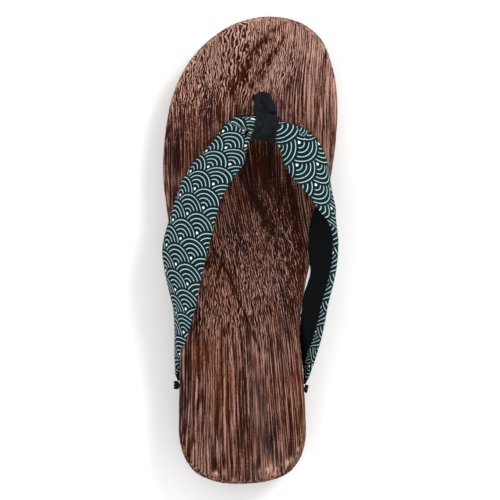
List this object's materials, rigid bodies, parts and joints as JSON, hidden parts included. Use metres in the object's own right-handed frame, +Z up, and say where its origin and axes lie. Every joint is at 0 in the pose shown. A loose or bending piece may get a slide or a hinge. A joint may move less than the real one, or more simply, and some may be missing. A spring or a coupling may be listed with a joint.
{
  "type": "geta sandal",
  "caption": "Left wooden geta sandal: carved one-piece sole with a shaped footbed and an arched cut-out, padded thong straps, cloth toe loop and cord tail knots.",
  "frame": {"origin": "on the floor plane under the middle of the whole sandal's box", "axes": "+Y along the foot to the toe, +X to the medial (big toe) side of this left shoe, +Z up out of the footbed"},
  "size_m": [0.0979, 0.2602, 0.0625],
  "materials": {
    "burnt_wood": "burnt and brushed grain, matte",
    "wave_cloth": "dark green cotton with a pale overlapping wave print, black lining",
    "black_cloth": "plain black cotton, matte",
    "black_cord": "twisted black cotton cord"
  },
  "bodies": {
    "root": {"sole": "burnt_wood", "straps": "wave_cloth", "toe_loop": "black_cloth", "tail_knot_lateral": "black_cord", "tail_knot_medial": "black_cord"}
  },
  "joints": []
}
